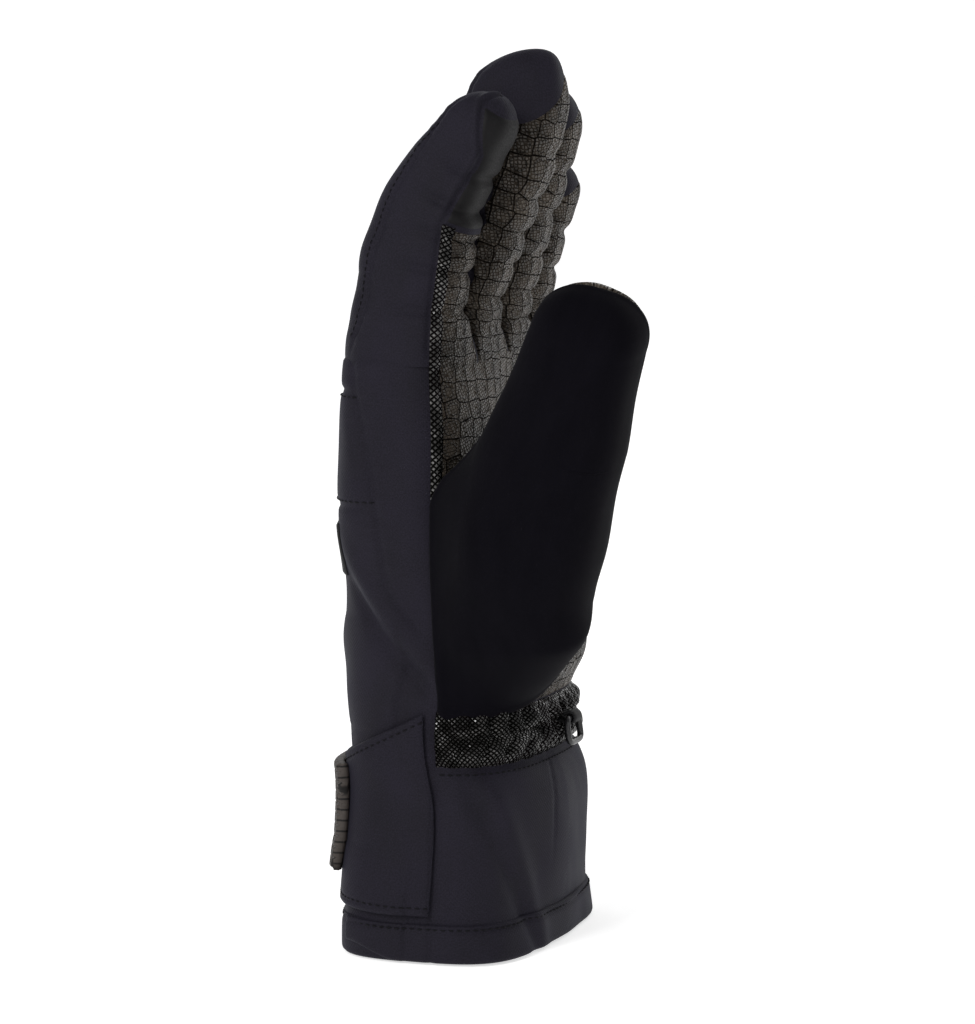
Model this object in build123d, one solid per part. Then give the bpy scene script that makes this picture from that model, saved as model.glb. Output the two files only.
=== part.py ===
"""A padded ski glove for the left hand, standing on its cuff with the fingers up.

+X is the palm side, -X the back of the hand, -Y the thumb side, +Z the way the fingers point.
The origin is the middle of the cuff's mouth. Sizes are in millimetres.
"""

from build123d import *
import math
import os

# Fabric layers, from the outside in; the liner is insulation with a lining
SHELL = 1.0
EASE = 0.1
LINED = 4.6
HINGE_GAP = 0.35

# The hand and cuff as one tapering tube: height, centre x, centre y, half depth, half width, squareness
HAND_RINGS = [
    (0, 0.0, -1.0, 34.0, 49.6, 3.0),
    (26, 0.0, -1.0, 34.3, 49.2, 2.9),
    (52, -0.2, -1.0, 33.6, 47.6, 2.8),
    (78, -0.5, -1.5, 32.0, 46.0, 2.7),
    (104, -1.4, -1.5, 31.6, 48.4, 2.6),
    (131, -4.4, -2.0, 28.6, 50.8, 3.0),
    (158, -6.5, -2.2, 25.2, 52.5, 3.4),
    (186, -4.5, -2.2, 19.5, 53.4, 5.0),
]
RING_POINTS = 16
KNUCKLE_LEDGE = 186

# Heights and positions of the seams
HEM_TOP = 12
CUFF_TOP = 59
WRIST_TOP = 80
BACK_SEAM_X, PALM_SEAM_X = -15, 7
ROOT_BACK_X, ROOT_PALM_X = -9, 3

# Fingers: centre y, the (x, z) of knuckle, middle joint and tip, the half depth and half width at the
# knuckle, the middle joint and the tip, and the radii of the round ends at the two joints
FINGERS = {
    "index": dict(
        y=-41.2, knuckle=(-3, 198), middle=(3.6, 228), apex=(24.6, 264.6),
        root=(16.0, 13.1), waist=(15.6, 12.8), tip=(12.4, 11.6), radii=(19.5, 18.8),
    ),
    "middle": dict(
        y=-14.2, knuckle=(-2.5, 198), middle=(10, 232), apex=(29.5, 277.0),
        root=(16.2, 13.3), waist=(16.0, 13.1), tip=(14.0, 12.2), radii=(19.8, 19.4),
    ),
    "ring": dict(
        y=12.8, knuckle=(-1.5, 197), middle=(8.5, 229.5), apex=(25.4, 266.6),
        root=(15.5, 13.1), waist=(15.3, 12.8), tip=(13.2, 11.8), radii=(18.9, 18.4),
    ),
    "little": dict(
        y=38.0, knuckle=(-1.2, 194), middle=(4, 216), apex=(15.6, 242.6),
        root=(13.8, 11.7), waist=(13.4, 11.3), tip=(11.0, 10.4), radii=(16.8, 16.0),
    ),
}
SIDE_STRIP = 3.6
CORNER = 0.8
DOME = 0.76

# The thumb's root grows out of the heel of the palm: centre, half size across and half thickness
THUMB_ROOT_RINGS = [
    ((12, -22, 74), 10, 10),
    ((23.5, -35, 93), 18.5, 17.5),
    ((32, -43, 112), 22, 20.5),
    ((39.5, -50, 131), 22.4, 20.5),
    ((46.6, -56.8, 151), 21, 18.8),
    ((55.4, -63.2, 176), 19.8, 18.0),
]
THUMB_POWER = 2.6
THUMB_KNUCKLE, THUMB_MIDDLE, THUMB_APEX = (46, -55.8, 147), (56.3, -62.9, 174), (69.2, -69.8, 207.6)
THUMB_ROOT, THUMB_WAIST, THUMB_TIP = (20.8, 18.4), (18.9, 17.0), (15.2, 14.6)
THUMB_RADII = (21.4, 19.6)

# Wrist closure, as distances out from the cuff's surface
LOOP_OUT, HOOK_IN, STRAP_IN, STRAP_OUT, GRIP_OUT = 0.8, 1.1, 1.9, 3.1, 5.2
STRAP_LOW, STRAP_HIGH, STRAP_SEAM_HIGH = 15.5, 62, 76
STRAP_START_X, STRAP_END_Y = 7.0, 14
GRIP_START_Y, GRIP_END_Y, GRIP_LOW, GRIP_HIGH = -36, 22, 25, 61

# Back patch and pads
PATCH_THICK, PAD_THICK = 0.8, 1.6

# Pairing ring at the heel of the palm
EYE_X, EYE_Y, EYE_Z = 34.8, 2, 69.5
BAR_R, WEB_THICK, WEB_WIDTH = 1.1, 0.9, 6.0
RING_WIDTH, RING_LENGTH, RING_RAIL, RING_LEAN = 13.0, 8.6, 2.2, 8

BIG = 400


def ring_wire(plane, half_depth, half_width, power):
    """A superellipse on a plane: half_depth along its x, half_width along its y."""
    points = []
    for k in range(RING_POINTS):
        turn = 2 * math.pi * k / RING_POINTS
        c, s = math.cos(turn), math.sin(turn)
        x = half_depth * math.copysign(abs(c) ** (2 / power), c)
        y = half_width * math.copysign(abs(s) ** (2 / power), s)
        points.append(plane.from_local_coords((x, y, 0)))
    return Wire([Spline(*points, periodic=True)])


def hand_tube(inset):
    """The hand and cuff up to the finger roots, smaller all round by inset, with an open mouth."""
    wires = []
    last = len(HAND_RINGS) - 1
    for k, (z, x, y, depth, width, power) in enumerate(HAND_RINGS):
        height = z - abs(inset) if k == 0 else z - inset if k == last else z
        plane = Plane(origin=(x, y, height), x_dir=(1, 0, 0), z_dir=(0, 0, 1))
        wires.append(ring_wire(plane, depth - inset, width - inset, power))
    return Solid.make_loft(wires)


def thumb_root(inset):
    """The solid root of the thumb, inside the palm at its low end."""
    way = Vector(*THUMB_MIDDLE) - Vector(*THUMB_KNUCKLE)
    across = Vector(way.Z, 0, -way.X).normalized()
    wires = []
    for centre, half_across, half_thick in THUMB_ROOT_RINGS:
        plane = Plane(origin=centre, x_dir=across, z_dir=way.normalized())
        wires.append(ring_wire(plane, half_across - inset, half_thick - inset, THUMB_POWER))
    return Solid.make_loft(wires)


def pod(start, end, first, last, inset, domed=False):
    """A straight rounded box from start to end, whose (half depth, half width) goes from first to last.

    A domed pod stops short of the end by inset; an open one runs on past both ends.
    """
    way = (end - start).normalized()
    across = Vector(way.Z, 0, -way.X).normalized()
    stations = (start - way * inset, first), (end - way * inset if domed else end + way * inset, last)
    faces = []
    for origin, (depth, width) in stations:
        outline = RectangleRounded(2 * (depth - inset), 2 * (width - inset), CORNER * width - inset)
        faces.append(Plane(origin=origin, x_dir=across, z_dir=way) * outline)
    solid = loft(faces, ruled=True)
    if domed:
        rim = solid.faces().sort_by(Axis(end, way))[-1].edges()
        solid = fillet(rim, DOME * last[1] - inset)
    return solid


def slab(axis, low, high):
    """All between two values of x, y or z."""
    size = [3 * BIG] * 3
    middle = [0, 0, 0]
    size["xyz".index(axis)] = high - low
    middle["xyz".index(axis)] = (low + high) / 2
    return Pos(*middle) * Box(*size)


def prism_y(points):
    """A polygon of (x, z) points, long in Y."""
    face = make_face(Polyline(*[(x, 0, z) for x, z in points], close=True))
    return extrude(face, amount=BIG, dir=(0, 1, 0), both=True)


def near_side(origin, axis, forward, radius):
    """All on the wrist's side of a hinge: the half space behind it and a round end about its axis."""
    behind = Plane(origin=origin, x_dir=axis, z_dir=forward) * Box(
        BIG, BIG, BIG, align=(Align.CENTER, Align.CENTER, Align.MAX)
    )
    return behind + Plane(origin=origin, z_dir=axis) * Cylinder(radius, BIG)


def digit(knuckle, middle, apex, sections, radii, inset):
    """The solid base and tip segments of a finger or thumb, smaller by inset, cut to their hinge gaps."""
    root, waist, tip = sections
    way, tip_way = (middle - knuckle).normalized(), (apex - middle).normalized()
    axis = Vector(way.Z, 0, -way.X).normalized() if abs(way.Y) > 0.01 else Vector(0, 1, 0)
    bend = (way + tip_way).normalized()
    base = pod(knuckle, middle + way * 24, root, waist, inset)
    base = base - near_side(knuckle, axis, way, radii[0] + HINGE_GAP)
    base = base & near_side(middle, axis, bend, radii[1])
    end = pod(middle - tip_way * 4, apex, waist, tip, inset, domed=True)
    end = end - near_side(middle, axis, bend, radii[1] + HINGE_GAP)
    return base, end


def finger_points(finger):
    return [Vector(finger[key][0], finger["y"], finger[key][1]) for key in ("knuckle", "middle", "apex")]


def finger_layers(finger):
    """Shell and liner of the base and of the tip."""
    sections = finger["root"], finger["waist"], finger["tip"]
    solids = [digit(*finger_points(finger), sections, finger["radii"], i) for i in (0, SHELL, SHELL + EASE, LINED)]
    return [(outer - inner, lining - hollow) for outer, inner, lining, hollow in zip(*solids)]


def finger_stub(finger, inset, floor):
    """The finger's round-ended root on top of the hand, from floor up."""
    knuckle, middle, _ = finger_points(finger)
    low = Vector(knuckle.X, knuckle.Y, floor)
    tube = pod(low, Vector(knuckle.X, knuckle.Y, 240), finger["root"], finger["root"], inset)
    tube = tube & slab("z", floor, 300)
    return tube & near_side(knuckle, Vector(0, 1, 0), (middle - knuckle).normalized(), finger["radii"][0])


def palm_side_of(finger):
    """All on the palm side of a finger's centreline."""
    (x0, z0), (x1, z1), (x2, z2) = finger["knuckle"], finger["middle"], finger["apex"]
    beyond = (x1 + (x2 - x1) * 2, z1 + (z2 - z1) * 2)
    return prism_y([(x0, 100), (x0, z0), (x1, z1), beyond, (BIG, beyond[1]), (BIG, 100)])


def make_fingers(parts):
    for name, finger in FINGERS.items():
        reach = finger["root"][1] - SIDE_STRIP
        band = slab("y", finger["y"] - reach, finger["y"] + reach)
        palm_side = palm_side_of(finger)
        for segment, (shell, liner) in zip(("base", "tip"), finger_layers(finger)):
            middle_band = shell & band
            parts[f"{name}_{segment}_back"] = middle_band - palm_side
            parts[f"{name}_{segment}_palm"] = middle_band & palm_side
            parts[f"{name}_{segment}_sides"] = shell - band
            parts[f"{name}_{segment}_liner"] = liner


def thumb_grip_side(low, high):
    """All on the gripping side of the thumb, behind its wipe panel, for the stretch from low to high."""
    way, thumb_way = high - low, Vector(*THUMB_MIDDLE) - Vector(*THUMB_KNUCKLE)
    across = Vector(thumb_way.Z, 0, -thumb_way.X)
    plane = Plane(origin=high, x_dir=across, z_dir=way.cross(across))
    return plane * Box(BIG, BIG, BIG, align=(Align.CENTER, Align.CENTER, Align.MIN))


def make_thumb(parts):
    points = [Vector(*p) for p in (THUMB_KNUCKLE, THUMB_MIDDLE, THUMB_APEX)]
    sections = THUMB_ROOT, THUMB_WAIST, THUMB_TIP
    grip_side = thumb_grip_side(points[0], points[1])
    solids = [digit(*points, sections, THUMB_RADII, i) for i in (0, SHELL, SHELL + EASE, LINED)]
    for segment, (outer, inner, lining, hollow) in zip(("base", "tip"), zip(*solids)):
        shell = outer - inner
        parts[f"thumb_{segment}_wipe_panel"] = shell - grip_side
        parts[f"thumb_{segment}_grip_panel"] = shell & grip_side
        parts[f"thumb_{segment}_liner"] = lining - hollow


def make_hand(parts):
    knuckle, middle = Vector(*THUMB_KNUCKLE), Vector(*THUMB_MIDDLE)
    way = (middle - knuckle).normalized()
    end = near_side(knuckle, Vector(way.Z, 0, -way.X).normalized(), way, THUMB_RADII[0])
    thumbs = [thumb_root(i) for i in (0, SHELL, SHELL + EASE, LINED)]
    tubes = [hand_tube(i) for i in (0, SHELL, SHELL + EASE, LINED)]

    gusset = ((thumbs[0] - thumbs[1]) & end) - tubes[0]
    grip_side = thumb_grip_side(Vector(*THUMB_ROOT_RINGS[1][0]), knuckle)
    parts["thumb_root_wipe_panel"] = gusset - grip_side
    parts["thumb_root_gusset"] = gusset & grip_side
    thumb_liner = ((thumbs[2] - thumbs[3]) & end) - tubes[1]

    shell = (tubes[0] - tubes[1]) - thumbs[1]
    liner = ((tubes[2] - tubes[3]) & slab("z", HEM_TOP + EASE, 300)) - thumbs[3]
    for finger in FINGERS.values():
        bore, lined_bore = (finger_stub(finger, i, 170) for i in (SHELL, LINED))
        shell = shell - bore
        liner = liner - lined_bore
    for finger in FINGERS.values():
        stub = finger_stub(finger, 0, KNUCKLE_LEDGE) - finger_stub(finger, SHELL, KNUCKLE_LEDGE - 5)
        shell = shell + stub
        top = KNUCKLE_LEDGE - SHELL - EASE
        liner = liner + (finger_stub(finger, SHELL + EASE, top) - finger_stub(finger, LINED, top - 5))
    parts["hand_liner"] = Compound(liner.solids() + thumb_liner.solids())

    hand = shell & slab("z", WRIST_TOP, 300)
    roots = slab("z", KNUCKLE_LEDGE - SHELL, 300)
    back = slab("x", -200, BACK_SEAM_X) + (slab("x", -200, ROOT_BACK_X) & roots)
    palm = slab("x", PALM_SEAM_X, 200) + (slab("x", ROOT_PALM_X, 200) & roots)
    parts["back_panel"] = hand & back
    parts["palm_panel"] = hand & palm
    between = shell & slab("z", CUFF_TOP, 300) & slab("x", BACK_SEAM_X, PALM_SEAM_X)
    parts["finger_root_gussets"] = shell & slab("x", ROOT_BACK_X, ROOT_PALM_X) & roots
    sides = between & slab("z", CUFF_TOP, KNUCKLE_LEDGE - SHELL)
    parts["thumb_side_panel"] = sides & slab("y", -200, 0)
    parts["little_side_panel"] = sides & slab("y", 0, 200)
    parts["wrist_gather"] = shell & slab("z", CUFF_TOP, WRIST_TOP) & slab("x", PALM_SEAM_X, 200)
    cuff = shell & slab("z", HEM_TOP, CUFF_TOP)
    parts["cuff_palm_panel"] = cuff & slab("x", BACK_SEAM_X, 200)
    parts["cuff_back_gusset"] = shell & slab("z", HEM_TOP, WRIST_TOP) & slab("x", -200, BACK_SEAM_X)
    hem = (hand_tube(-0.6) - hand_tube(2.4)) & slab("z", 0, HEM_TOP)
    parts["cuff_hem"] = hem & slab("x", BACK_SEAM_X, 200)
    parts["cuff_back_hem"] = hem & slab("x", -200, BACK_SEAM_X)
    pad = (hand_tube(-PAD_THICK) - tubes[0]) & slab("x", -200, BACK_SEAM_X - 3)
    parts["back_pad"] = pad & slab("z", 141, 173) & slab("y", -44, 42)
    patch = (hand_tube(-PATCH_THICK) - tubes[0]) & slab("z", 117, 133)
    parts["back_patch"] = patch & slab("x", -200, -19) & slab("y", -44, -14)


def wrapped(inner, outer, *limits):
    """A layer of fabric that follows the cuff between two distances out from it."""
    layer = hand_tube(-outer) - hand_tube(-inner)
    for limit in limits:
        layer = layer & limit
    return layer


def make_strap(parts):
    outline = prism_y([
        (STRAP_START_X, STRAP_LOW), (STRAP_START_X, STRAP_SEAM_HIGH), (-26, STRAP_HIGH), (-60, STRAP_HIGH),
        (-60, STRAP_LOW),
    ])
    back = slab("x", -200, -12)
    parts["wrist_strap"] = wrapped(STRAP_IN, STRAP_OUT, outline, slab("y", -200, STRAP_END_Y))
    hook_area = slab("z", 28, 58), slab("y", -8, 12), back
    parts["strap_hook_patch"] = wrapped(HOOK_IN, STRAP_IN, *hook_area)
    parts["strap_loop_patch"] = wrapped(0, LOOP_OUT, slab("z", 26, 60), slab("y", -30, 14), back)
    tab = wrapped(STRAP_OUT, GRIP_OUT, slab("z", GRIP_LOW, GRIP_HIGH), slab("y", GRIP_START_Y, GRIP_END_Y), back)
    parts["strap_grip_tab"] = tab


def make_ring(parts):
    """A plastic ring that hangs in a webbing loop, to clip the pair together."""
    bar = Pos(EYE_X, EYE_Y, EYE_Z) * Rot(90, 0, 0) * Cylinder(BAR_R, RING_WIDTH)
    rail = RING_RAIL / 2
    frame = Box(2 * BAR_R, RING_WIDTH, RING_LENGTH, align=(Align.CENTER, Align.CENTER, Align.MAX))
    frame = frame - Pos(0, 0, 3) * Box(9, RING_WIDTH - 4 * rail, RING_LENGTH + 3 - RING_RAIL,
                                       align=(Align.CENTER, Align.CENTER, Align.MAX))
    parts["pairing_ring"] = bar + Pos(EYE_X, EYE_Y, EYE_Z) * Rot(0, -RING_LEAN, 0) * frame
    wrap_r = BAR_R + 0.2
    eye = Pos(EYE_X, EYE_Y, EYE_Z) * Rot(90, 0, 0) * Cylinder(wrap_r + WEB_THICK, WEB_WIDTH)
    tongue = Pos(EYE_X - 6, EYE_Y, EYE_Z) * Box(12, WEB_WIDTH, 2 * WEB_THICK + 0.1)
    webbing = eye + tongue - Pos(EYE_X, EYE_Y, EYE_Z) * Rot(90, 0, 0) * Cylinder(wrap_r, WEB_WIDTH + 2)
    parts["ring_webbing"] = webbing - hand_tube(0)


def whole(shape):
    """One solid, or a group of them, without crumbs."""
    solids = [s for s in shape.solids() if s.volume > 0.5]
    return solids[0] if len(solids) == 1 else Compound(solids)


def main():
    parts = {}
    make_fingers(parts)
    make_thumb(parts)
    make_hand(parts)
    make_strap(parts)
    make_ring(parts)
    os.makedirs("parts", exist_ok=True)
    for name, shape in parts.items():
        export_step(whole(shape), f"parts/{name}.step")


main()
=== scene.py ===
"""Looks of a left-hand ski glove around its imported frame.

+X is the palm side, -Y the thumb side, +Z the way the fingers point. Sizes here are in
millimetres. Round a tube, an angle of 0 is its palm side, 90 its thumb side, 180 its back and
270 its little-finger side.
"""

import math

import bmesh
import bpy
import numpy as np
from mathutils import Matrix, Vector


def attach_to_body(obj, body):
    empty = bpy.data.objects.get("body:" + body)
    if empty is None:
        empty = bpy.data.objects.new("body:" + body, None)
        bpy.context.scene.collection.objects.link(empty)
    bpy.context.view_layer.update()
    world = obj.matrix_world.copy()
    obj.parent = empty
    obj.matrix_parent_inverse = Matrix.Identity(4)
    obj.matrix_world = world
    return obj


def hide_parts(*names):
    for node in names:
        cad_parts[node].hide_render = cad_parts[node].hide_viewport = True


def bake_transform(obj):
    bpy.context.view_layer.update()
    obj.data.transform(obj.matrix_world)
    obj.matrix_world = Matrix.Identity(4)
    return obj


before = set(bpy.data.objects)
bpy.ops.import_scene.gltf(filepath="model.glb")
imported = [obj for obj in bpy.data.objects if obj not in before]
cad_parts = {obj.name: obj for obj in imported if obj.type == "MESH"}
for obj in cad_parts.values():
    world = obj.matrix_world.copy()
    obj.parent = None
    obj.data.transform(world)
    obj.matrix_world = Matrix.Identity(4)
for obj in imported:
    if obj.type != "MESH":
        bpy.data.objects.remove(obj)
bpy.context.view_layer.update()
MM = 0.001
AROUND = 360
WAVE_COUNT = 7
FAR = 99

# Hand and cuff: height, centre x, centre y, half depth, half width, squareness
HAND_RINGS = [
    (0, 1.2, -1.0, 31.6, 49.8, 3.6),
    (12, 1.4, -1.0, 31.3, 49.5, 3.2),
    (28, 2.3, -1.0, 31.5, 49.0, 2.9),
    (50, 2.2, -1.0, 31.0, 47.4, 2.8),
    (64, -0.6, -1.2, 29.8, 45.6, 2.7),
    (78, -1.0, -1.5, 29.9, 45.2, 2.7),
    (88, 0.4, -1.5, 31.4, 46.2, 2.7),
    (104, -0.6, -1.5, 30.8, 48.0, 2.7),
    (131, -3.3, -2.0, 27.2, 50.6, 3.0),
    (158, -5.6, -2.2, 23.4, 51.8, 3.4),
    (186, -4.1, -2.2, 18.6, 52.4, 4.4),
]
HAND_TOP = 186
FINGER_FLOOR = 182
# The back's cross seams: below the pad over the knuckles, above it, and on the fingers
PAD_LOW, PAD_SEAM, PAD_TOP = 139, 174, 208
PAD_STITCHES = 1.6
ALONG = np.arange(0, 191, 1.0)

# The grip tab's moulded blocks: width, height and the height at which a row starts
BLOCK_WIDTH, BLOCK_HEIGHT, BLOCK_START = 3.6, 3.4, 1.2
# The leather's embossed scales
SCALE_WIDTH, SCALE_HEIGHT, SCALE_RANDOMNESS = 6.4, 5.6, 0.30

# Fingers: y limits of the cell at the hand, centre y, half width at the root and the end, the
# length of the round tip, the joints as (x, z), half the length over which each bends and the
# centreline as (x, z, half depth). The tip may slant forward and come to more of a point.
FINGERS = {
    "index": dict(
        cell=(-80, -27.8), y=-41.2, wide=(13.0, 11.4), cap=14.5,
        joints=((-3, 198), (3.6, 228)), spans=(13, 12),
        line=[(-4.1, 182, 17.4), (-3.0, 192, 16.3), (-2.6, 199, 16), (-0.2, 215, 16),
              (4.2, 228.5, 15.2), (10.2, 240, 12.8), (17.2, 250.5, 10.6)],
    ),
    "middle": dict(
        cell=(-27.8, -0.7), y=-14.2, wide=(13.2, 12.2), cap=17.5,
        joints=((-2.5, 198), (10, 232)), spans=(14, 13), slant=5.0, point=1.55,
        line=[(-4.1, 182, 17.4), (-2.6, 192, 16.4), (-1.6, 199, 16.2), (4.8, 217, 16),
              (11.2, 232, 15.8), (17.8, 247, 15.6), (21.6, 260, 15.2)],
    ),
    "ring": dict(
        cell=(-0.7, 26.2), y=12.8, wide=(13.0, 11.8), cap=15,
        joints=((-1.5, 197), (8.5, 229.5)), spans=(14, 13),
        line=[(-4.1, 182, 17.2), (-2.0, 191, 15.9), (-0.8, 198, 15.5), (4.9, 217, 15.3),
              (9.8, 231, 14.9), (16.6, 248, 13.6), (18.4, 252.5, 13.2)],
    ),
    "little": dict(
        cell=(26.2, 80), y=38.0, wide=(11.6, 10.4), cap=11.5,
        joints=((-1.2, 194), (4, 216)), spans=(11, 10),
        line=[(-3.8, 182, 14.6), (-1.9, 189, 13.8), (-1, 196, 13.7), (3.0, 212, 13.4),
              (7.3, 224, 12.7), (10.6, 232.5, 11.7)],
    ),
}
TIP_SLANT, TIP_POINT = 1.5, 1.1

# Thumb: centre, half size across, half thickness and how far its ring has turned from level to
# across the thumb
THUMB_RINGS = [
    ((16, -26, 72), 15, 12, 0),
    ((23.2, -30, 82), 21.6, 15, 0),
    ((29.0, -36.5, 96), 23.4, 18, 0),
    ((33.0, -43, 113), 21.4, 20.4, 0.25),
    ((39, -50, 131), 21.2, 20.6, 0.65),
    ((45.2, -56, 149.5), 20.8, 18.8, 1),
    ((52.4, -61, 166.4), 19.2, 17.6, 1),
    ((58.2, -64.6, 181.4), 17.4, 16.2, 1),
    ((62.6, -66.9, 192.4), 16.0, 15.2, 1),
]
THUMB_CAP = 15.5
THUMB_KNUCKLE, THUMB_MIDDLE = (46, -55.8, 147), (56.3, -62.9, 174)
THUMB_WAY = (Vector(THUMB_MIDDLE) - Vector(THUMB_KNUCKLE)).normalized()


# ---------------------------------------------------------------- curves and skins

def spline(rows, t):
    """Smooth values at t between rows whose first number is the parameter."""
    rows = np.array(rows, float)
    x, y = rows[:, 0], rows[:, 1:]
    slopes = np.gradient(y, x, axis=0)
    t = np.asarray(t, float)
    i = np.clip(np.searchsorted(x, t, side="right") - 1, 0, len(x) - 2)
    h = (x[i + 1] - x[i])[..., None]
    s = np.clip((t - x[i])[..., None] / h, 0, 1)
    a, b = 2 * s ** 3 - 3 * s ** 2 + 1, s ** 3 - 2 * s ** 2 + s
    c, d = 1 - a, s ** 3 - s ** 2
    return a * y[i] + b * h * slopes[i] + c * y[i + 1] + d * h * slopes[i + 1]


def smooth(low, high, t):
    s = np.clip((np.asarray(t, float) - low) / (high - low), 0, 1)
    return s * s * (3 - 2 * s)


def bell(distance, width):
    return np.exp(-(distance / width) ** 2)


def run_along(points):
    """How far along a line each of its points lies."""
    return np.concatenate([[0], np.cumsum(np.linalg.norm(np.diff(points, axis=0), axis=1))])


def points_at(line, shares):
    """The points of a line at the given shares of its length."""
    run = run_along(line)
    at = shares * run[-1]
    return np.stack([np.interp(at, run, line[:, k]) for k in range(line.shape[1])], axis=1)


def even_loop(points, count=AROUND):
    """A closed line of points, spaced evenly along its length from the first point."""
    closed = np.vstack([points, points[:1]])
    return points_at(closed, np.linspace(0, 1, count, endpoint=False))


def signed_power(value, power):
    """A power of a value's size, with the value's sign."""
    return np.sign(value) * np.abs(value) ** power


def squircle(half_depth, half_width, power):
    """A superellipse loop from the palm side by way of the thumb side, evenly spaced."""
    turn = np.linspace(0, 2 * np.pi, 4 * AROUND, endpoint=False)
    x = half_depth * signed_power(np.cos(turn), 2 / power)
    y = -half_width * signed_power(np.sin(turn), 2 / power)
    return even_loop(np.stack([x, y], axis=1))


def waves(a, b, length, seed):
    """Soft random undulation between about -1 and 1 over two lengths a and b."""
    random = np.random.default_rng(seed)
    total = 0
    for _ in range(WAVE_COUNT):
        way, phase = random.uniform(0, 2 * np.pi, 2)
        stretch = 2 * np.pi / (length * random.uniform(0.7, 1.5))
        total += np.sin((a * math.cos(way) + b * math.sin(way)) * stretch + phase)
    return total / math.sqrt(WAVE_COUNT)


def between(stations, v):
    """The row before each station v, and the share of the way from there to the next row."""
    place = np.interp(v, stations, np.arange(len(stations)))
    low = np.clip(np.floor(place).astype(int), 0, len(stations) - 2)
    return low, place - low


class Skin:
    """A tube's surface as rings of points at stations v, with relief added along its normals."""

    def __init__(self, stations, rings):
        self.v = np.array(stations, float)
        self.rings = np.array(rings, float)
        along = np.gradient(self.rings, self.v, axis=0)
        around = np.roll(self.rings, -1, axis=1) - np.roll(self.rings, 1, axis=1)
        normals = np.cross(around, along)
        lengths = np.linalg.norm(normals, axis=2, keepdims=True)
        normals = normals / np.maximum(lengths, 1e-9)
        centres = self.rings.mean(axis=1, keepdims=True)
        if (normals * (self.rings - centres)).sum() < 0:
            normals = -normals
        self.normals = normals
        steps = np.linalg.norm(np.roll(self.rings, -1, axis=1) - self.rings, axis=2)
        self.girth = steps.sum(axis=1)
        self.reliefs = []

    def look_up(self, table, v, u):
        """Values of a table of rings at stations v and angles u."""
        i0, f = between(self.v, v)
        f = f[..., None]
        j = np.mod(u, 360) * AROUND / 360
        j0 = np.floor(j).astype(int) % AROUND
        j1 = (j0 + 1) % AROUND
        g = (j - np.floor(j))[..., None]
        low = table[i0, j0] * (1 - g) + table[i0, j1] * g
        high = table[i0 + 1, j0] * (1 - g) + table[i0 + 1, j1] * g
        return low * (1 - f) + high * f

    def arc(self, v, degrees):
        """The length of an angle round the tube."""
        return degrees / 360 * np.interp(v, self.v, self.girth)

    def degrees(self, v, arc):
        """The angle round the tube that an arc takes."""
        return arc / np.interp(v, self.v, self.girth) * 360

    def normal(self, v, u):
        found = self.look_up(self.normals, v, u)
        return found / np.linalg.norm(found, axis=-1, keepdims=True)

    def at(self, v, u, lift=0.0):
        v, u = np.broadcast_arrays(np.asarray(v, float), np.asarray(u, float))
        height = np.zeros(v.shape) + lift
        for relief in self.reliefs:
            height += relief(v, u)
        return self.look_up(self.rings, v, u) + self.normal(v, u) * height[..., None]

    def angle_where(self, v, axis, value, low, high):
        """For each station, the angle between low and high where a coordinate passes a value."""
        angles = np.linspace(low, high, 121)
        found = []
        for station, wanted in zip(*np.broadcast_arrays(v, value)):
            line = self.look_up(self.rings, np.full(len(angles), station), angles)[:, axis]
            order = np.argsort(line)
            found.append(np.interp(wanted, line[order], angles[order]))
        return np.array(found)


def wrapped(u):
    """An angle between -180 and 180."""
    return np.mod(np.asarray(u) + 180, 360) - 180


# ---------------------------------------------------------------- meshes

def new_object(name, vertices, faces, uvs, material, smooth_faces=True):
    mesh = bpy.data.meshes.new(name)
    mesh.from_pydata((np.asarray(vertices) * MM).tolist(), [], faces)
    layer = mesh.uv_layers.new(name="UVMap")
    index = np.zeros(len(mesh.loops), int)
    mesh.loops.foreach_get("vertex_index", index)
    layer.data.foreach_set("uv", np.asarray(uvs, float)[index].astype(np.float32).ravel())
    mesh.polygons.foreach_set("use_smooth", [smooth_faces] * len(mesh.polygons))
    mesh.materials.append(material)
    mesh.validate()
    mesh.update()
    obj = bpy.data.objects.new(name, mesh)
    bpy.context.scene.collection.objects.link(obj)
    return obj


def grid_faces(rows, columns, offset=0, closed=False):
    faces = []
    for i in range(rows - 1):
        for j in range(columns if closed else columns - 1):
            k = (j + 1) % columns
            a, b = offset + i * columns + j, offset + i * columns + k
            faces.append((a, b, b + columns, a + columns))
    return faces


def outward(obj):
    """Turns the faces of a closed or open piece to one side, with bmesh's own test."""
    mesh = bmesh.new()
    mesh.from_mesh(obj.data)
    bmesh.ops.recalc_face_normals(mesh, faces=mesh.faces)
    mesh.to_mesh(obj.data)
    mesh.free()
    return obj


def skin_uv(skin, v, u):
    return np.stack([skin.arc(v, u), v], axis=-1).reshape(-1, 2)


def tube_piece(name, skin, stations, material, lift=0.0, step=2.0):
    """The whole way round a skin."""
    u = np.arange(0, 360 + step / 2, step)
    v, u = np.meshgrid(stations, u, indexing="ij")
    points = skin.at(v, u, lift).reshape(-1, 3)
    return new_object(name, points, grid_faces(*v.shape), skin_uv(skin, v, u), material)


def patch_grid(low_v, high_v, low_u, high_u, rows, columns):
    """Stations and angles of a patch.

    Its limits in v may change from side to side and those in u from end to end.
    """
    down, across = np.linspace(0, 1, rows)[:, None], np.linspace(0, 1, columns)[None, :]
    low_v, high_v = np.atleast_1d(low_v)[None, :], np.atleast_1d(high_v)[None, :]
    low_u, high_u = np.atleast_1d(low_u)[:, None], np.atleast_1d(high_u)[:, None]
    v = low_v + (high_v - low_v) * down + 0 * across
    return v, low_u + (high_u - low_u) * across + 0 * down


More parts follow.
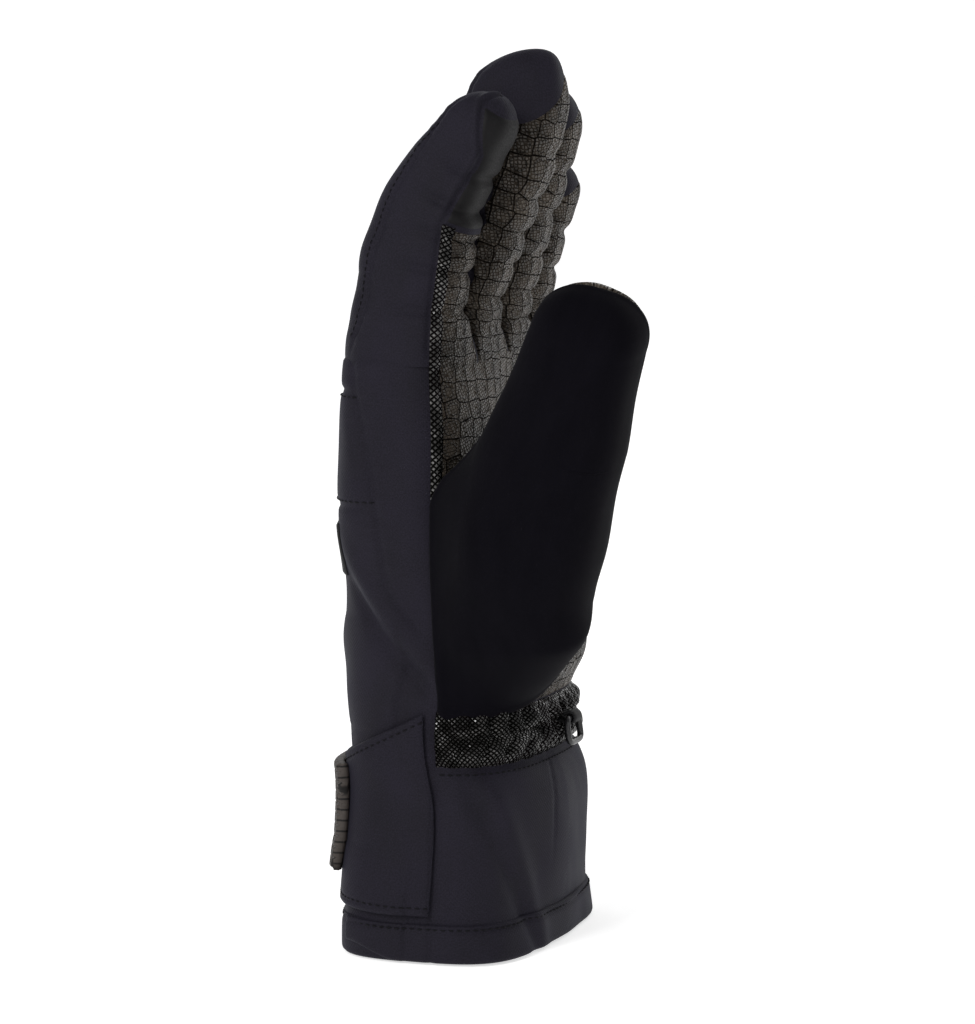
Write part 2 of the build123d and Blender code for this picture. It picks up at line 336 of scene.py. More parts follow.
def edge_distance(skin, v, u):
    """How far each point of a patch's grid is from its side edges and from its ends."""
    across = np.minimum(skin.arc(v, u - u[:, :1]), skin.arc(v, u[:, -1:] - u))
    return across, v - v[:1], v[-1:] - v


def patch_piece(name, skin, v, u, material, lift, ends=(1, 1), relief=None):
    """Part of a skin as its own panel. Its edges dip under what lies round it."""
    across, low, high = edge_distance(skin, v, u)
    low, high = low + FAR * (1 - ends[0]), high + FAR * (1 - ends[1])
    near = np.minimum(across, np.minimum(low, high))
    height = lift - 0.9 * bell(near, 1.1)
    if relief:
        height += relief(v, u)
    points = skin.at(v, u, height).reshape(-1, 3)
    return new_object(name, points, grid_faces(*v.shape), skin_uv(skin, v, u), material)


def slab_piece(name, skin, v, u, material, outer, inner, relief=None, round_edge=0.8):
    """A thick closed band over a skin, with rounded edges."""
    across, low, high = edge_distance(skin, v, u)
    near = np.clip(np.minimum(across, np.minimum(low, high)) / round_edge, 0, 1)
    drop = (outer - inner) * 0.35 * (1 - np.sqrt(1 - (1 - near) ** 2))
    top = outer - drop + (relief(v, u) if relief else 0)
    rows, cols = v.shape
    count = rows * cols
    points = np.vstack([skin.at(v, u, height).reshape(-1, 3) for height in (top, inner + drop)])
    faces = grid_faces(rows, cols) + [f[::-1] for f in grid_faces(rows, cols, count)]
    ring = [(0, j) for j in range(cols)] + [(i, cols - 1) for i in range(1, rows)]
    ring += [(rows - 1, j) for j in range(cols - 2, -1, -1)] + [(i, 0) for i in range(rows - 2, 0, -1)]
    for (i0, j0), (i1, j1) in zip(ring, ring[1:] + ring[:1]):
        first, second = i0 * cols + j0, i1 * cols + j1
        faces.append((first, second, second + count, first + count))
    uv = skin_uv(skin, v, u)
    return outward(new_object(name, points, faces, np.vstack([uv, uv]), material))


def tube_along(path, radius, sides=6, profile=None):
    """Points and faces of a round tube along a path; profile scales its radius from end to end."""
    path = np.asarray(path, float)
    tangent = np.gradient(path, axis=0)
    tangent /= np.maximum(np.linalg.norm(tangent, axis=1, keepdims=True), 1e-9)
    helper = np.array([0.0, 0.0, 1.0]) if abs(tangent[:, 2]).mean() < 0.8 else np.array([1.0, 0.0, 0.0])
    side = np.cross(tangent, helper)
    side /= np.maximum(np.linalg.norm(side, axis=1, keepdims=True), 1e-9)
    up = np.cross(side, tangent)
    scale = np.ones(len(path)) if profile is None else np.asarray(profile, float)
    turn = np.linspace(0, 2 * np.pi, sides, endpoint=False)
    ring = side[:, None] * np.cos(turn)[None, :, None] + up[:, None] * np.sin(turn)[None, :, None]
    points = path[:, None] + ring * (radius * scale)[:, None, None]
    return points.reshape(-1, 3), grid_faces(len(path), sides, closed=True)


STITCH_BEND = np.array([-0.55, 0.25, 0.42, 0.25, -0.55])
STITCH_TAPER = [0.55, 1, 1, 1, 0.55]


def stitch_piece(name, rows, material, pitch=2.5, gap=0.6, radius=0.22):
    """Rows of single stitches, each row given as a skin, stations and angles."""
    vertices, faces = [], []
    for skin, v, u in rows:
        v, u = np.broadcast_arrays(np.asarray(v, float), np.asarray(u, float))
        path = skin.at(v, u)
        run = run_along(path)
        count = max(int(run[-1] / pitch), 1)
        for k in range(count):
            start = run[-1] * k / count
            at = start + np.linspace(0, 1, 5) * (run[-1] / count - gap)
            sv, su = np.interp(at, run, v), np.interp(at, run, u)
            points, quads = tube_along(skin.at(sv, su, STITCH_BEND * 0.5), radius, 5, STITCH_TAPER)
            offset = len(vertices) * 25
            faces += [tuple(offset + n for n in quad) for quad in quads]
            vertices.append(points)
    vertices = np.vstack(vertices)
    return new_object(name, vertices, faces, vertices[:, :2], material)


# ---------------------------------------------------------------- materials

class Nodes:
    """A small helper that wires one material."""

    def __init__(self, name, color, roughness, specular=0.5, sheen=0.0, sheen_tint=(1, 1, 1)):
        self.material = bpy.data.materials.new(name)
        self.material.use_nodes = True
        self.tree = self.material.node_tree
        self.shader = next(n for n in self.tree.nodes if n.type == "BSDF_PRINCIPLED")
        values = {"Base Color": (*color, 1), "Roughness": roughness, "Specular IOR Level": specular,
                  "Sheen Weight": sheen, "Sheen Tint": (*sheen_tint, 1), "Sheen Roughness": 0.4}
        for key, value in values.items():
            self.shader.inputs[key].default_value = value
        self.uv = self.tree.nodes.new("ShaderNodeUVMap").outputs["UV"]

    def node(self, kind, inputs=None, **settings):
        made = self.tree.nodes.new(kind)
        for key, value in settings.items():
            setattr(made, key, value)
        for key, value in (inputs or {}).items():
            if isinstance(value, bpy.types.NodeSocket):
                self.tree.links.new(value, made.inputs[key])
            else:
                made.inputs[key].default_value = value
        return made

    def math(self, operation, a, b):
        return self.node("ShaderNodeMath", {0: a, 1: b}, operation=operation).outputs[0]

    def add(self, a, b):
        return self.math("ADD", a, b)

    def times(self, a, b):
        return self.math("MULTIPLY", a, b)

    def cells(self, vector, randomness, feature="DISTANCE_TO_EDGE"):
        """The distance to the edge or the middle of a net of cells."""
        inputs = {"Vector": vector, "Scale": 1.0, "Randomness": randomness}
        return self.node("ShaderNodeTexVoronoi", inputs, feature=feature).outputs["Distance"]

    def stripes(self, angle):
        inputs = {"Vector": self.scaled_uv(1, 1, angle), "Scale": 0.36, "Distortion": 0.4}
        return self.node("ShaderNodeTexWave", inputs, wave_profile="SIN").outputs["Fac"]

    def scaled_uv(self, x, y, angle=0.0):
        inputs = {"Vector": self.uv, "Scale": (x, y, 1), "Rotation": (0, 0, math.radians(angle))}
        return self.node("ShaderNodeMapping", inputs).outputs[0]

    def noise(self, x, y, detail=3.0):
        inputs = {"Vector": self.scaled_uv(x, y), "Scale": 1.0, "Detail": detail, "Roughness": 0.55}
        return self.node("ShaderNodeTexNoise", inputs).outputs["Fac"]

    def ramp(self, value, low, high, a=0.0, b=1.0):
        inputs = {"Value": value, "From Min": low, "From Max": high, "To Min": a, "To Max": b}
        return self.node("ShaderNodeMapRange", inputs, interpolation_type="SMOOTHSTEP").outputs[0]

    def mix(self, factor, a, b):
        made = self.node("ShaderNodeMix", {"Factor": factor}, data_type="RGBA")
        for socket, value in ((made.inputs[6], a), (made.inputs[7], b)):
            if isinstance(value, bpy.types.NodeSocket):
                self.tree.links.new(value, socket)
            else:
                socket.default_value = (*value, 1)
        return made.outputs[2]

    def link(self, socket, name):
        self.tree.links.new(socket, self.shader.inputs[name])

    def bump(self, height, distance_mm, strength=1.0):
        inputs = {"Height": height, "Distance": distance_mm * MM, "Strength": strength}
        self.link(self.node("ShaderNodeBump", inputs).outputs[0], "Normal")


def toned(color, share):
    return tuple(channel * share for channel in color)


def softshell_material(name, color):
    """A fine matte weave, a little lighter where it is rubbed."""
    m = Nodes(name, color, 0.72, specular=0.12, sheen=0.04, sheen_tint=(0.7, 0.75, 1.0))
    cloud = m.noise(0.06, 0.03, 4)
    fleck = m.noise(2.2, 2.2, 2)
    rubbed = m.ramp(m.add(m.times(cloud, 0.4), m.times(fleck, 0.6)), 0.36, 0.64)
    m.link(m.mix(rubbed, toned(color, 0.66), toned(color, 1.36)), "Base Color")
    weave = m.times(m.stripes(45), m.stripes(-45))
    m.bump(m.add(weave, m.times(fleck, 0.8)), 0.10, 0.55)
    m.link(m.ramp(cloud, 0.3, 0.7, 0.65, 0.79), "Roughness")
    return m.material


def leather_material(name):
    """Leather embossed with rounded scales, each double-outlined and filled with a fine mesh."""
    m = Nodes(name, (0.026, 0.022, 0.018), 0.40)
    wobble_inputs = {"Vector": m.scaled_uv(0.11, 0.11), "Scale": 1.0}
    wobble = m.node("ShaderNodeTexNoise", wobble_inputs).outputs["Color"]
    bent = m.node("ShaderNodeMix", {"Factor": 0.16}, data_type="RGBA", blend_type="ADD")
    m.tree.links.new(m.scaled_uv(1 / SCALE_WIDTH, 1 / SCALE_HEIGHT), bent.inputs[6])
    m.tree.links.new(wobble, bent.inputs[7])
    edges = m.cells(bent.outputs[2], SCALE_RANDOMNESS)
    middles = m.cells(bent.outputs[2], SCALE_RANDOMNESS, "F1")
    outline = m.ramp(edges, 0.012, 0.060)
    second = m.math("SUBTRACT", m.ramp(middles, 0.32, 0.36), m.ramp(middles, 0.39, 0.43))
    crown = m.ramp(edges, 0.02, 0.40)
    mesh = m.ramp(m.cells(m.scaled_uv(0.85, 1.05, 20), 0.45), 0.03, 0.24)
    worn = m.ramp(m.noise(0.05, 0.05), 0.25, 0.75)
    base = m.mix(worn, (0.01612, 0.01302, 0.01023), (0.1023, 0.08246, 0.06324))
    scaled = m.mix(m.ramp(mesh, 0.0, 1.0, 0.62, 1.0), (0.005, 0.0043, 0.0036), base)
    lined = m.mix(m.times(second, 0.62), scaled, (0.004, 0.0035, 0.003))
    m.link(m.mix(m.ramp(outline, 0.0, 1.0, 0.10, 1.0), (0.003, 0.0026, 0.0023), lined), "Base Color")
    height = m.add(m.times(outline, 0.40), m.times(crown, 0.50))
    height = m.math("SUBTRACT", height, m.times(second, 0.16))
    m.bump(m.add(height, m.times(mesh, 0.30)), 1.0)
    m.link(m.times(m.times(outline, mesh), 0.42), "Specular IOR Level")
    m.link(m.ramp(mesh, 0.0, 1.0, 0.62, 0.36), "Roughness")
    return m.material


def glossy_material(name, painted_glint_color, gloss, fineness):
    """Leather with a mesh of small shiny scales and black gaps between them. The scale tops are painted
    lighter, as painted glints.
    """
    m = Nodes(name, (0.020, 0.019, 0.018), 0.24)
    mesh = m.ramp(m.cells(m.scaled_uv(fineness, fineness, 45), 0.12), 0.06, 0.30)
    patches = m.ramp(m.noise(0.16, 0.16, 2), 0.42, 0.62, 0.25, 1.0)
    gloss_and_painted_glint = m.times(mesh, patches)
    # the base colour is lighter on the shiny scale tops: painted glints, beside their real specular
    m.link(m.mix(gloss_and_painted_glint, (0.0020, 0.0018, 0.0016), painted_glint_color), "Base Color")
    m.link(m.times(gloss_and_painted_glint, gloss), "Specular IOR Level")
    m.bump(mesh, 0.7)
    return m.material


def suede_material(name):
    """Black suede with a faint brushed nap."""
    m = Nodes(name, (0.0028, 0.0026, 0.0038), 0.95, specular=0.04, sheen=0.02)
    m.link(m.mix(m.noise(0.16, 0.05), (0.0018, 0.0016, 0.0028), (0.0040, 0.0036, 0.0056)), "Base Color")
    m.bump(m.noise(2.8, 2.8, 4), 0.10, 0.5)
    return m.material


def rubber_material(name):
    """Moulded rubber, darker in the lines between its blocks."""
    m = Nodes(name, (0.050, 0.043, 0.038), 0.6, specular=0.25)
    inputs = {"Vector": m.uv, "Scale": (1 / BLOCK_WIDTH, 1 / BLOCK_HEIGHT, 1),
              "Location": (0, -BLOCK_START / BLOCK_HEIGHT, 0)}
    lines = m.cells(m.node("ShaderNodeMapping", inputs).outputs[0], 0.0)
    raised = m.ramp(lines, 0.05, 0.13)
    m.link(m.mix(raised, (0.008, 0.007, 0.0065), (0.056, 0.047, 0.042)), "Base Color")
    m.bump(m.noise(2, 2), 0.06)
    return m.material


def plain_material(name, color, roughness, specular, grain, depth, sheen=0.0):
    """One colour with a fine grain."""
    m = Nodes(name, color, roughness, specular, sheen)
    spots = m.noise(grain, grain)
    m.link(m.mix(spots, toned(color, 0.78), toned(color, 1.25)), "Base Color")
    m.bump(spots, depth, 0.6)
    m.link(m.ramp(spots, 0.3, 0.7, roughness - 0.08, roughness + 0.08), "Roughness")
    return m.material


SOFTSHELL = softshell_material("softshell", (0.0108, 0.0094, 0.0152))
LEATHER = leather_material("embossed_leather")
# A darker copy of the leather for the ruching: painted shade, with painted glints on its scales.
GATHERED_SHADED = glossy_material("gathered_leather_painted_shade", (0.046, 0.043, 0.041), 0.80, 0.98)
# A lighter copy of the leather for the rolled seam edges: painted highlight where the edge catches
# light, with painted glints on its scales.
GLOSSY_LIT = glossy_material("scale_leather_painted_highlight", (0.100, 0.096, 0.092), 1.0, 0.78)
SMOOTH_LEATHER = plain_material("touch_leather", (0.0050, 0.0046, 0.0052), 0.58, 0.14, 1.6, 0.12)
SUEDE = suede_material("black_suede")
BINDING = plain_material("edge_binding", (0.0085, 0.0085, 0.0095), 0.7, 0.3, 1.8, 0.06)
THREAD = plain_material("thread", (0.0050, 0.0048, 0.0060), 0.7, 0.12, 4.0, 0.04)
LINING = plain_material("lining", (0.016, 0.016, 0.018), 0.9, 0.2, 0.8, 0.25, 0.3)
RUBBER = rubber_material("grip_rubber")
PLASTIC = plain_material("hook_plastic", (0.010, 0.010, 0.011), 0.32, 0.5, 1.2, 0.02)
WEBBING = plain_material("webbing", (0.010, 0.010, 0.011), 0.75, 0.3, 2.6, 0.12)
FLOOR = plain_material("floor", (0.78, 0.78, 0.78), 0.9, 0.1, 0.01, 0.0)
floor_shader = next(n for n in FLOOR.node_tree.nodes if n.type == "BSDF_PRINCIPLED")
floor_shader.inputs["Emission Color"].default_value = (1, 1, 1, 1)
floor_shader.inputs["Emission Strength"].default_value = 0.6


# ---------------------------------------------------------------- the glove's skins

def hand_loop(z):
    x, y, depth, width, power = spline(HAND_RINGS, z)
    return squircle(depth, width, power) + np.array([x, y])


def hand_skin():
    rings = [np.column_stack([hand_loop(min(z, HAND_TOP)), np.full(AROUND, z)]) for z in ALONG]
    return Skin(ALONG, rings)


def cell_loop(low, high):
    """The part of the hand's outline between two values of y, closed by straight walls."""
    outline = even_loop(hand_loop(FINGER_FLOOR), 2000)
    centre = outline.mean(axis=0)
    inside = (outline[:, 1] >= low) & (outline[:, 1] <= high)
    palm = outline[inside & (outline[:, 0] >= centre[0])]
    back = outline[inside & (outline[:, 0] < centre[0])]
    palm = palm[np.argsort(-palm[:, 1])]
    back = back[np.argsort(back[:, 1])]
    loop = even_loop(np.vstack([palm, back]), 720)
    for _ in range(24):
        loop = (np.roll(loop, 1, axis=0) + 2 * loop + np.roll(loop, -1, axis=0)) / 4
    return loop


def start_at(loop, y):
    """The same loop, evenly spaced from its palm-side point at y."""
    palm = loop[:, 0] > loop[:, 0].mean()
    first = np.argmin(np.abs(loop[:, 1] - y) + (~palm) * 1000)
    return even_loop(np.roll(loop, -first, axis=0))


def tilted_ring(loop, centre, lean):
    """A flat loop of (depth, y) placed at a centre (x, y, z), leaning forward by an angle."""
    x = centre[0] + loop[:, 0] * math.cos(lean)
    z = centre[2] - loop[:, 0] * math.sin(lean)
    return np.column_stack([x, centre[1] + loop[:, 1], z])


DOME = np.sin(np.radians(np.linspace(3, 89.4, 26)))


def domed_stations(length, cap):
    return np.concatenate([np.arange(0, length, 1.0), [length], length + cap * DOME])


def dome_width(share):
    """The width of a dome at a share of its height."""
    return max(1 - share ** 2.3, 0) ** (1 / 2.1)


def finger_skin(finger):
    """The finger's tube: a cell of the hand at its floor, round higher up and closed by a dome."""
    line = np.array(finger["line"], float)
    run = run_along(line[:, :2])
    rows = np.column_stack([run, line])
    length, cap = run[-1], finger["cap"]
    finger["length"] = length
    cell = start_at(cell_loop(*finger["cell"]), finger["y"])
    stations = domed_stations(length, cap)
    rings = []
    for v in stations:
        held = min(v, length)
        x, z, depth = spline(rows, held)
        near = spline(rows, np.array([max(held - 2, 0), min(held + 2, length)]))
        lean = math.atan2(near[1, 0] - near[0, 0], near[1, 1] - near[0, 1])
        width = np.interp(held, [0, length], finger["wide"])
        shrink = 1.0
        if v > length:
            share = (v - length) / cap
            narrowed = (finger.get("point", TIP_POINT) - 1) * 0.5 * share ** 1.5
            shrink = dome_width(share) * (1 - narrowed)
            x, z = x + math.sin(lean) * (v - length), z + math.cos(lean) * (v - length)
            x += finger.get("slant", TIP_SLANT) * share ** 2
        loop = squircle(depth * shrink, width * shrink, 2.9)
        ring = tilted_ring(loop, (x, finger["y"], z), lean)
        grown = smooth(1, 20, v)
        if grown < 1:
            flat = np.column_stack([cell, np.full(AROUND, z)])
            flat[:, 0] += (x - line[0, 0]) * 0.5 * grown
            ring = flat * (1 - grown) + ring * grown
        rings.append(ring)
    return Skin(stations, rings)


def thumb_axes(turned):
    """The directions across and through the thumb of a ring that has turned from level by a share."""
    way = Vector((0, 0, 1)).lerp(THUMB_WAY, float(turned)).normalized()
    across = Vector((way.z, 0, -way.x)).normalized()
    return np.array(across), np.array(way.cross(across))


def thumb_skin():
    rows = [(run, *centre, *sizes) for run, (centre, *sizes) in zip(THUMB_RUN, THUMB_RINGS)]
    length = THUMB_RUN[-1]
    stations = domed_stations(length, THUMB_CAP)
    end_way = np.subtract(THUMB_RINGS[-1][0], THUMB_RINGS[-2][0])
    end_way /= np.linalg.norm(end_way)
    rings = []
    for v in stations:
        values = spline(rows, min(v, length))
        centre, half, thick, turned = values[:3], values[3], values[4], min(max(values[5], 0), 1)
        shrink = 1.0
        if v > length:
            shrink = dome_width((v - length) / THUMB_CAP)
            centre = centre + end_way * (v - length)
        loop = squircle(half * shrink, thick * shrink, 2.5)
        across, through = thumb_axes(turned)
        rings.append(centre + np.outer(loop[:, 0], across) + np.outer(loop[:, 1], through))
    return Skin(stations, rings)


THUMB_RUN = run_along([row[0] for row in THUMB_RINGS])
THUMB_TURNS = [row[3] for row in THUMB_RINGS]


hand, thumb = hand_skin(), thumb_skin()
fingers = {name: finger_skin(finger) for name, finger in FINGERS.items()}

# The seams of the hand, as angles at every millimetre of its height
PALM_SEAM_X = 7.4
PALM_SEAM = hand.angle_where(ALONG, 0, PALM_SEAM_X, 20, 120)
PALM_SEAM_FAR = hand.angle_where(ALONG, 0, PALM_SEAM_X, 340, 240)
BACK_SEAM_X = np.interp(ALONG, [101, 113, 150, 174, 186], [3.6, -6.6, -11, -15.6, -17])
BACK_SEAM = hand.angle_where(ALONG, 0, BACK_SEAM_X, 60, 170)
BACK_SEAM_FAR = hand.angle_where(ALONG, 0, BACK_SEAM_X, 300, 190)


def at_height(table, v):
    """A seam's angle at any height."""
    return np.interp(v, ALONG, table)


def groove(skin, v, u, seam_u, depth=0.7, width=1.0):
    """The valley along a seam."""
    return -depth * bell(skin.arc(v, wrapped(u - seam_u)), width)


def pucker(skin, v, u, seam_u, pitch=5.5, size=0.28, reach=4.0):
    """Small puckers that die away from a seam."""
    distance = np.abs(skin.arc(v, wrapped(u - seam_u)))
    turns = v * 2 * np.pi / pitch
    wave = np.sin(turns + 1.7 * np.sin(v / 9)) * np.sin(turns / 2.7 + 1)
    return size * wave * bell(distance - 1.5, reach)


def swell(v, low, high):
    """A flat-topped rise between two stations."""
    return np.clip(np.sin(np.pi * np.clip((v - low) / (high - low), 0, 1)), 0, 1) ** 0.6


# Creases and the swells beside them: height, distance from the line they lie along, width, and
# the arcs round the hand between which each starts and ends
PALM_CREASES = [
    (-1.8, 0, 4.2, (-2, 4), (34, 20)),
    (1.3, 9, 6.75, (-2, 6), (40, 22)),
]
CUFF_CREASES = [
    (-1.6, 0, 6.8, (-4, -12), (-50, -34)),
    (1.2, 10, 9.0, (-4, -12), (-56, -34)),
]


def creases(rows, line, arc):
    """Creases at a distance from a slanting line, between two arcs."""
    return sum(size * bell(line - offset, width) * smooth(*start, arc) * smooth(*end, arc)
               for size, offset, width, start, end in rows)


def hand_relief(v, u):
    """The padded, sewn and creased shape of the hand and cuff."""
    near = hand.arc(v, wrapped(u - at_height(BACK_SEAM, v)))
    far = hand.arc(v, wrapped(at_height(BACK_SEAM_FAR, v) - u))
    # this wave also lifts the back a little below the pad, at the wrist
    pad = np.clip(np.sin(np.pi * (v - PAD_LOW) / (PAD_SEAM - PAD_LOW)), 0, 1) ** 0.6
    padding = pad * (v < PAD_SEAM) + 1.2 * swell(v, PAD_SEAM, PAD_TOP) * (v >= PAD_SEAM)
    height = smooth(0, 7, near) * smooth(0, 7, far) * padding
    cross_seams = bell(v - PAD_LOW, 1.1) + bell(v - PAD_SEAM, 1.1)
    height -= 0.8 * smooth(0, 2, near) * smooth(0, 2, far) * cross_seams
    for table in (BACK_SEAM, BACK_SEAM_FAR):
        seam_u = at_height(table, v)
        sewn = groove(hand, v, u, seam_u) + pucker(hand, v, u, seam_u)
        height += smooth(100, 104, v) * sewn
    arc = hand.arc(v, wrapped(u - at_height(PALM_SEAM, v)))
    height += waves(v, arc, 34, 3) * 0.55 * smooth(84, 100, v)
    height += creases(PALM_CREASES, (v - 84) - (arc - 3) * 1.15, arc)
    cuff = smooth(60, 48, v)
    height += cuff * waves(v * 0.5, arc, 38, 8) * 0.8
    height += cuff * creases(CUFF_CREASES, (v - 42) - (arc + 18) * 1.7, arc)
    # the cuff's side seam, a crease in its palm side and the seam at the wrist
    height -= 0.6 * bell(arc, 0.9) * smooth(58, 54, v)
    height -= 0.4 * bell(arc + 50, 0.8) * smooth(20, 44, v) * smooth(60, 56, v)
    height -= 1.1 * bell(v - 60, 2.2) * smooth(3, 0, arc) * smooth(-180, -170, arc)
    # the heel of the palm swells, and the hand closes under the fingers
    height += 2.6 * bell(v - 94, 13) * smooth(70, 30, np.abs(wrapped(u)))
    return height - 5 * smooth(183, 188, v)


hand.reliefs.append(hand_relief)


FOLD_PITCH = 12.5
FOLD_SHIFT = {"index": 2.0, "middle": 8.5, "ring": 5.0, "little": 11.0}
# Where the palm leather ends on each finger, at its far and near side, and the seams of its back
PALM_ENDS = {"index": (47, 47), "middle": (79, 96), "ring": (76, 86), "little": (54, 61)}
BACK_ANGLES = {"index": (126, 229), "middle": (134, 226), "ring": (134, 226), "little": (134, 226)}


def fold_phase(name, v):
    """Runs through one turn from each cross fold of a finger's palm side to the next."""
    shift = FOLD_SHIFT[name]
    return (v + shift + 1.6 * np.sin(v / 11 + shift)) * 2 * np.pi / FOLD_PITCH


def palm_edge(name, stations):
    """The angles of a finger's palm strip at its thumb side and its little-finger side."""
    finger, skin = FINGERS[name], fingers[name]
    length = finger["length"]
    root = 1 - smooth(0, 14, stations)
    waver = np.cos(fold_phase(name, stations))
    if name == "index":
        x = np.interp(stations, [0, 18, 46, 59, 72], [7.4, 8.0, 11.4, 17, 23.5])
        near = skin.angle_where(stations, 0, x, 10, 100)
    else:
        ahead = 8.6 + 0.8 * waver - 3.2 * smooth(length - 30, length, stations)
        ahead -= 3.4 * smooth(24, 46, stations)
        ahead += 3 * (1 - smooth(0, 12, stations))
        centre_x = np.interp(stations, skin.v, skin.rings[:, :, 0].mean(axis=1))
        near = skin.angle_where(stations, 0, centre_x + ahead, 30, 100)
        near = near * (1 - root) + 62 * root
    if name == "little":
        x = np.interp(stations, [0, 18, 52], [7.4, 8.0, 13])
        far = skin.angle_where(stations, 0, x, -10, -100)
    else:
        reach = np.interp(stations, [0, length], finger["wide"]) - 3.2 + 2.6 * root
        reach += 2.4 * smooth(length - 22, length + 2, stations)
        reach += 0.7 * waver * smooth(4, 14, stations)
        far = skin.angle_where(stations, 1, finger["y"] + reach, -4, -80)
    return near, far


EDGES = {}
for name, finger in FINGERS.items():
    samples = np.arange(0, finger["length"] + finger["cap"], 2.0)
    EDGES[name] = (samples, *palm_edge(name, samples))


def finger_relief(name):
    """Grooves at a finger's seams, a soft crown between them and gentle folds."""
    skin, (stations, near, far) = fingers[name], EDGES[name]
    seed = sorted(FINGERS).index(name) + 20
    length, end = FINGERS[name]["length"], PALM_ENDS[name][0]

    def relief(v, u):
        turned = wrapped(u)
        height = 0
        above = np.maximum(v - end, 0)
        for edge in (near, far):
            across = skin.arc(v, turned - np.interp(v, stations, edge))
            height -= 0.55 * bell(np.hypot(across, above), 1.0) * smooth(0, 6, v)
        if name == "index":
            rim = skin.arc(v, turned - np.interp(v, stations, near))
            raised = 0.7 * bell(rim - 1.6, 1.1) - 0.5 * bell(rim, 0.7)
            height += raised * smooth(end - 2, end + 6, v)
        rises = smooth(0, 10, v) * smooth(length + 12, length + 4, v)
        closing = 0.25 * smooth(length - 14, length + 10, v)
        for angle in BACK_ANGLES[name]:
            seam = angle + (180 - angle) * closing
            sewn = groove(skin, v, u, seam, 0.65, 0.9) + pucker(skin, v, u, seam, 5.0, 0.22, 3.5)
            height += rises * sewn
        arc = skin.arc(v, turned)
        height += waves(v * 1.3, arc * 0.6, 26, seed) * 0.40 * smooth(6, 24, v)
        palm_side = smooth(112, 70, np.abs(turned)) * smooth(8, 16, v)
        palm_side = palm_side * smooth(length + 4, length - 6, v)
        folds = np.exp((np.cos(fold_phase(name, v) + np.pi) - 1) * 2.2)
        height += palm_side * (0.45 - 1.45 * folds)
        quilt = smooth(118, 150, np.abs(turned)) * smooth(30, 14, v)
        z = v + FINGER_FLOOR
        height += quilt * 1.2 * swell(z, PAD_SEAM, PAD_TOP)
        return height - quilt * 0.8 * bell(z - PAD_TOP, 1.1) * smooth(30, 28, v)

    return relief


for name in FINGERS:
    fingers[name].reliefs.append(finger_relief(name))


def thumb_relief(v, u):
    """Soft waves and one seam."""
    return 0.35 * waves(v, thumb.arc(v, wrapped(u)), 40, 5) + groove(thumb, v, u, -14, 0.5)


thumb.reliefs.append(thumb_relief)


# ---------------------------------------------------------------- fingers

def joint_line(name):
    """A finger's joints, the direction from the first to the second and their distance."""
    joints = np.array(FINGERS[name]["joints"], float)
    step = joints[1] - joints[0]
    return joints, step / np.hypot(*step), np.hypot(*step)


def split_station(name):
    """Where on a finger the knuckle's bend has ended and the middle joint's hasn't begun."""
    joints, way, distance = joint_line(name)
    spans = FINGERS[name]["spans"]
    point = joints[0] + way * (spans[0] + distance - spans[1]) / 2
    centres = fingers[name].rings.mean(axis=1)[:, [0, 2]]
    return fingers[name].v[np.argmin(np.hypot(*(centres - point).T))]


def bend_finger(obj):
    """Bakes a piece's transform into its mesh."""
    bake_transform(obj)


PALM_COLUMNS = 56
SEAM_STRIP_WIDTH = 3.8
STITCH_INSET = 1.9


def seam_strip(name, skin, v, edge):
    """A rolled, glossy edge of leather along a seam, in the lighter leather with painted highlights."""
    width = skin.degrees(v, SEAM_STRIP_WIDTH)
    shares = np.linspace(0, 1, 9)
    u = (edge - 0.12 * width)[:, None] - width[:, None] * shares[None, :]
    lift = (0.3 + 0.75 * np.sin(np.pi * np.clip(shares * 1.05, 0, 1)))[None, :] + 0 * u
    v = np.repeat(v[:, None], len(shares), axis=1)
    points = skin.at(v, u, lift).reshape(-1, 3)
    strip = new_object(name, points, grid_faces(*v.shape), skin_uv(skin, v, u), GLOSSY_LIT)
    return strip


def strip_grid(name, low, high, ends, rows):
    """A grid over a finger's palm strip, from a low station up to its ends."""
    samples, near, far = EDGES[name]
    v = np.linspace(low, high, rows)
    edges = np.interp(v, samples, far), np.interp(v, samples, near)
    return patch_grid(low, ends, *edges, rows, PALM_COLUMNS)


def finger_stitches(name, part, low, palm_high, back_high):
    """Rows of stitches beside a finger's seams."""
    skin, (samples, near, far) = fingers[name], EDGES[name]
    v = np.linspace(low, palm_high, 80)
    rows = [(skin, v, np.interp(v, samples, edge) + skin.degrees(v, inset))
            for edge, inset in ((near, -STITCH_INSET), (far, STITCH_INSET))]
    v = np.linspace(low, back_high, 80)
    for angle, inset in zip(BACK_ANGLES[name], (STITCH_INSET, -STITCH_INSET)):
        rows.append((skin, v, angle + skin.degrees(v, inset)))
    title = f"{name}_{part}_stitches"
    stitches = stitch_piece(title, rows, THREAD, pitch=2.0, gap=0.4, radius=0.18)
    return stitches


